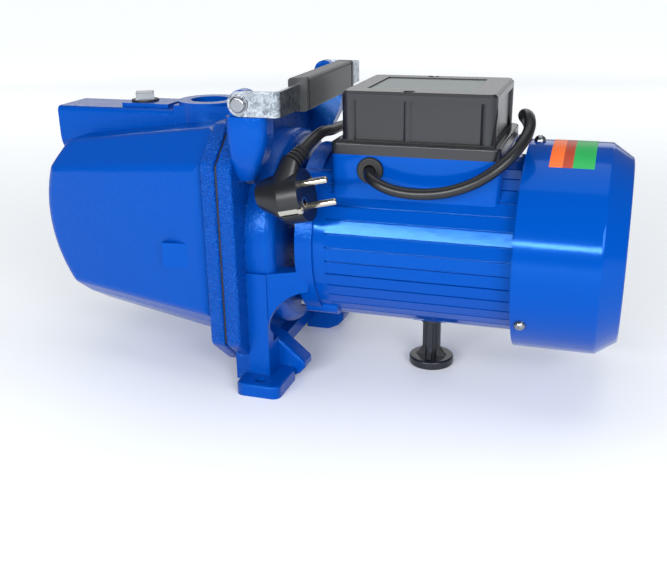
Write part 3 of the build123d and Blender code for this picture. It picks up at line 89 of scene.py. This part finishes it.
lead_route = [
    (76.5, -50.0, 168.0), (76.5, -61.0, 167.4), (84.0, -68.5, 163.5), (97.0, -71.0, 159.0),
    (115.0, -71.5, 157.5), (135.0, -71.0, 160.0), (154.0, -68.0, 167.0), (169.0, -61.5, 177.5),
    (179.0, -51.0, 188.5), (184.0, -37.5, 198.0), (182.0, -21.5, 204.5), (176.5, -5.0, 204.0),
    (173.5, 12.5, 199.0), (176.0, 31.0, 191.0), (175.5, 49.0, 179.0), (164.0, 64.0, 169.0),
    (141.0, 69.0, 161.0), (114.0, 69.5, 156.0), (87.0, 69.5, 157.0), (61.0, 69.0, 164.0),
    (42.0, 62.0, 173.0), (33.5, 44.0, 181.0), (34.5, 20.0, 185.5), (38.5, -5.0, 189.0),
    (40.0, -29.0, 190.5), (41.0, -49.0, 194.0), (40.67, -66.46, 192.66), (35.5, -76.0, 185.5),
]
curve = bpy.data.curves.new("mains_lead", "CURVE")
curve.dimensions = "3D"
lead_diameter = 0.008
curve.bevel_depth = lead_diameter / 2
curve.bevel_resolution = 6
curve.resolution_u = 8
curve.use_fill_caps = True
spline = curve.splines.new("NURBS")
spline.points.add(len(lead_route) - 1)
for point, place in zip(spline.points, lead_route):
    point.co = (place[0] / 1000, place[1] / 1000, place[2] / 1000, 1.0)
spline.order_u = 3
spline.use_endpoint_u = True
cord_skin = material("cord_skin", "#111216", 0.34)
curve.materials.append(cord_skin)
mains_lead = bpy.data.objects.new("mains_lead", curve)
scene.collection.objects.link(mains_lead)
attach(mains_lead, "frame")
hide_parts("power_cord")


# ---- enamel ----
# Blue enamel, glossy and nearly smooth on the motor and its cover.
# The helpers here build shader nodes and give a material to every node of a slot.
def add(made, kind, **inputs):
    """A node in a material's tree, with its inputs set by name or linked from another node's output."""
    tree = made.node_tree
    node = tree.nodes.new(kind)
    for name, value in inputs.items():
        socket = node.inputs[name.replace("_", " ")]
        if isinstance(value, bpy.types.NodeSocket):
            tree.links.new(value, socket)
        else:
            socket.default_value = value
    return node


def grain(made, scale, strength, distance):
    """Fine surface relief from noise in the object's own coordinates."""
    place = add(made, "ShaderNodeTexCoord").outputs["Object"]
    noise = add(made, "ShaderNodeTexNoise", Vector=place, Scale=scale, Detail=3.0)
    bump = add(made, "ShaderNodeBump", Height=noise.outputs["Fac"], Strength=strength, Distance=distance)
    shader = made.node_tree.nodes["Principled BSDF"]
    made.node_tree.links.new(bump.outputs["Normal"], shader.inputs["Normal"])


def paint(slot, made):
    """Give a record slot's CAD nodes this material."""
    for part in frame["record"]["subparts"]:
        if part["material_slot"] == slot:
            mesh = cad[part["node"]].data
            mesh.materials.clear()
            mesh.materials.append(made)


def enamel(name, roughness):
    """Glossy blue enamel, whose reflections are tinted by the paint."""
    made = material(name, "#00439E", roughness, coat=0.02)
    shader = made.node_tree.nodes["Principled BSDF"]
    shader.inputs["Specular Tint"].default_value = linear("#5AA6FF")
    return made


enamel_smooth = enamel("enamel_smooth", 0.13)
grain(enamel_smooth, 170.0, 0.10, 0.0004)
paint("enamel_motor", enamel_smooth)
paint("enamel_cover", enamel_smooth)


# ---- cast enamel ----
# The castings keep the sand's grain under the paint, coarsest on the rims of the two flanges.
# Those rims are picked out by their place along the shaft.
enamel_cast = enamel("enamel_cast", 0.15)
place = add(enamel_cast, "ShaderNodeTexCoord").outputs["Object"]
split = add(enamel_cast, "ShaderNodeSeparateXYZ", Vector=place)
behind = add(enamel_cast, "ShaderNodeMapRange", Value=split.outputs["X"], From_Min=-0.038, From_Max=-0.035)
before = add(enamel_cast, "ShaderNodeMapRange", Value=split.outputs["X"], From_Min=-0.010, From_Max=-0.013)
rim = add(enamel_cast, "ShaderNodeMath")
rim.operation = "MULTIPLY"
enamel_cast.node_tree.links.new(behind.outputs["Result"], rim.inputs[0])
enamel_cast.node_tree.links.new(before.outputs["Result"], rim.inputs[1])
rough = add(enamel_cast, "ShaderNodeMapRange", Value=rim.outputs["Value"], To_Min=0.20, To_Max=1.6)
fine = add(enamel_cast, "ShaderNodeTexNoise", Vector=place, Scale=620.0, Detail=2.0)
broad = add(enamel_cast, "ShaderNodeTexNoise", Vector=place, Scale=210.0, Detail=2.0)
under = add(enamel_cast, "ShaderNodeBump", Height=broad.outputs["Fac"], Strength=0.22, Distance=0.0010)
over = add(enamel_cast, "ShaderNodeBump", Height=fine.outputs["Fac"], Strength=rough.outputs["Result"],
           Distance=0.0016, Normal=under.outputs["Normal"])
shader = enamel_cast.node_tree.nodes["Principled BSDF"]
enamel_cast.node_tree.links.new(over.outputs["Normal"], shader.inputs["Normal"])
paint("enamel_casing", enamel_cast)
paint("enamel_bracket", enamel_cast)


# ---- other finishes ----
# Black mouldings and rubber, the grip, zinc and steel fasteners, the plug's nickel pins,
# and the plain finishes of what lies inside.
black_plastic = material("black_plastic", "#1D1F25", 0.26)
grain(black_plastic, 900.0, 0.08, 0.0002)
for slot in ("black_plastic", "foot_plastic", "noryl", "fan_plastic"):
    paint(slot, black_plastic)

rubber = material("rubber", "#101012", 0.55)
for slot in ("gasket", "seal_rubber", "carbon"):
    paint(slot, rubber)

paint("cord_pvc", cord_skin)
paint("plug_pvc", cord_skin)

grip_skin = material("grip_skin", "#2E2F31", 0.36)
paint("grip", grip_skin)

zinc = material("zinc", "#94989E", 0.26, metallic=1.0)
paint("zinc_bolts", zinc)
steel = material("steel", "#9FA2A6", 0.25, metallic=1.0)
for slot in ("steel", "bearing_steel", "lamination"):
    paint(slot, steel)
nickel = material("nickel", "#C9C4B8", 0.16, metallic=1.0)
paint("nickel", nickel)
aluminium = material("aluminium", "#B4B7BB", 0.4, metallic=1.0)
paint("aluminium", aluminium)
paint("capacitor_case", aluminium)
brass = material("brass", "#C9A455", 0.25, metallic=1.0)
paint("brass", brass)
copper = material("copper", "#8E4A22", 0.35)
paint("winding", copper)
ivory = material("ivory", "#D8D5C8", 0.4)
paint("ceramic", ivory)
paint("terminal_plastic", ivory)


# ---- galvanised strap ----
# Hot-dip zinc with a spangle: patches of slightly different grey and roughness.
spangle = material("spangle", "#A9B0BA", 0.3, metallic=1.0)
place = add(spangle, "ShaderNodeTexCoord").outputs["Object"]
warp = add(spangle, "ShaderNodeTexNoise", Vector=place, Scale=260.0, Detail=3.0)
shift = add(spangle, "ShaderNodeMixRGB", Fac=0.012, Color1=place, Color2=warp.outputs["Color"])
cells = add(spangle, "ShaderNodeTexVoronoi", Vector=shift.outputs["Color"], Scale=360.0)
greys = add(spangle, "ShaderNodeValToRGB", Fac=cells.outputs["Color"])
greys.color_ramp.elements[0].color = linear("#626A74")
greys.color_ramp.elements[1].color = linear("#C4CCD4")
shader = spangle.node_tree.nodes["Principled BSDF"]
spangle.node_tree.links.new(greys.outputs["Color"], shader.inputs["Base Color"])
paint("galvanised_strap", spangle)


# ---- labels ----
# The box label is plain grey; the fan cover's has colour bands and no print.
grey_label = material("grey_label", "#8F9696", 0.5)
paint("label_grey", grey_label)
banded = material("banded", "#E07A2A", 0.4)
place = add(banded, "ShaderNodeTexCoord").outputs["Object"]
split = add(banded, "ShaderNodeSeparateXYZ", Vector=place)
along = add(banded, "ShaderNodeMapRange", Value=split.outputs["X"], From_Min=0.198, From_Max=0.228)
bands = add(banded, "ShaderNodeValToRGB", Fac=along.outputs["Result"])
bands.color_ramp.interpolation = "CONSTANT"
bands.color_ramp.elements[0].color = linear("#EE6A20")
bands.color_ramp.elements[1].position = 0.52
bands.color_ramp.elements[1].color = linear("#14A24E")
middle_band = bands.color_ramp.elements.new(0.30)
middle_band.color = linear("#A83A1C")
shader = banded.node_tree.nodes["Principled BSDF"]
banded.node_tree.links.new(bands.outputs["Color"], shader.inputs["Base Color"])
paint("label_bands", banded)


# ---- studio ----
# Pale floor that brightens to white with distance, under a pale world that is dimmer in reflections.
# A long strip low on the near side draws the bright line along the motor.
floor_mesh = bpy.data.meshes.new("floor")
half = 6
corners = [(-half, -half, 0), (half, -half, 0), (half, half, 0), (-half, half, 0)]
floor_mesh.from_pydata(corners, [], [(0, 1, 2, 3)])
floor = bpy.data.objects.new("floor", floor_mesh)
floor_skin = material("floor", "#F4F6F8", 0.6)
place = add(floor_skin, "ShaderNodeTexCoord").outputs["Object"]
reach = add(floor_skin, "ShaderNodeVectorMath")
reach.operation = "LENGTH"
floor_skin.node_tree.links.new(place, reach.inputs[0])
glow = add(floor_skin, "ShaderNodeMapRange", Value=reach.outputs["Value"], From_Min=0.2, From_Max=2.0,
           To_Min=0.06, To_Max=0.76)
shader = floor_skin.node_tree.nodes["Principled BSDF"]
shader.inputs["Emission Color"].default_value = linear("#F7F9FB")
floor_skin.node_tree.links.new(glow.outputs["Result"], shader.inputs["Emission Strength"])
floor_mesh.materials.append(floor_skin)
scene.collection.objects.link(floor)

world = bpy.data.worlds.new("world")
world.use_nodes = True
tree = world.node_tree
room = tree.nodes["Background"]
room.inputs["Color"].default_value = linear("#EDF2F8")
rays = tree.nodes.new("ShaderNodeLightPath")
dimmed = tree.nodes.new("ShaderNodeMath")
dimmed.operation = "MULTIPLY_ADD"
tree.links.new(rays.outputs["Is Glossy Ray"], dimmed.inputs[0])
world_light = 0.36
in_reflections = 0.20
seen_directly = 1.10
dimmed.inputs[1].default_value = in_reflections - world_light
dimmed.inputs[2].default_value = world_light
lit = tree.nodes.new("ShaderNodeMath")
lit.operation = "MULTIPLY_ADD"
tree.links.new(rays.outputs["Is Camera Ray"], lit.inputs[0])
lit.inputs[1].default_value = seen_directly - world_light
tree.links.new(dimmed.outputs["Value"], lit.inputs[2])
tree.links.new(lit.outputs["Value"], room.inputs["Strength"])
scene.world = world
scene.view_settings.view_transform = "Standard"


def lamp(name, place, target, width, height, power):
    """A soft rectangular light aimed at a point."""
    light = bpy.data.lights.new(name, "AREA")
    light.shape = "RECTANGLE"
    light.size = width
    light.size_y = height
    light.energy = power
    made = bpy.data.objects.new(name, light)
    made.location = place
    made.rotation_euler = (Vector(target) - Vector(place)).to_track_quat("-Z", "Y").to_euler()
    scene.collection.objects.link(made)


lamp("overhead", (0.0, 0.1, 1.3), (0.0, 0.0, 0.1), 1.4, 0.9, 5)
lamp("near_strip", (-0.12, -1.20, 0.46), (0.11, -0.06, 0.12), 0.9, 0.09, 12)
lamp("right_fill", (0.85, -1.0, 0.60), (0.1, 0.0, 0.1), 0.6, 0.5, 9.5)
lamp("back_card", (-0.35, 1.35, 0.62), (0.0, 0.0, 0.15), 2.2, 0.5, 4)
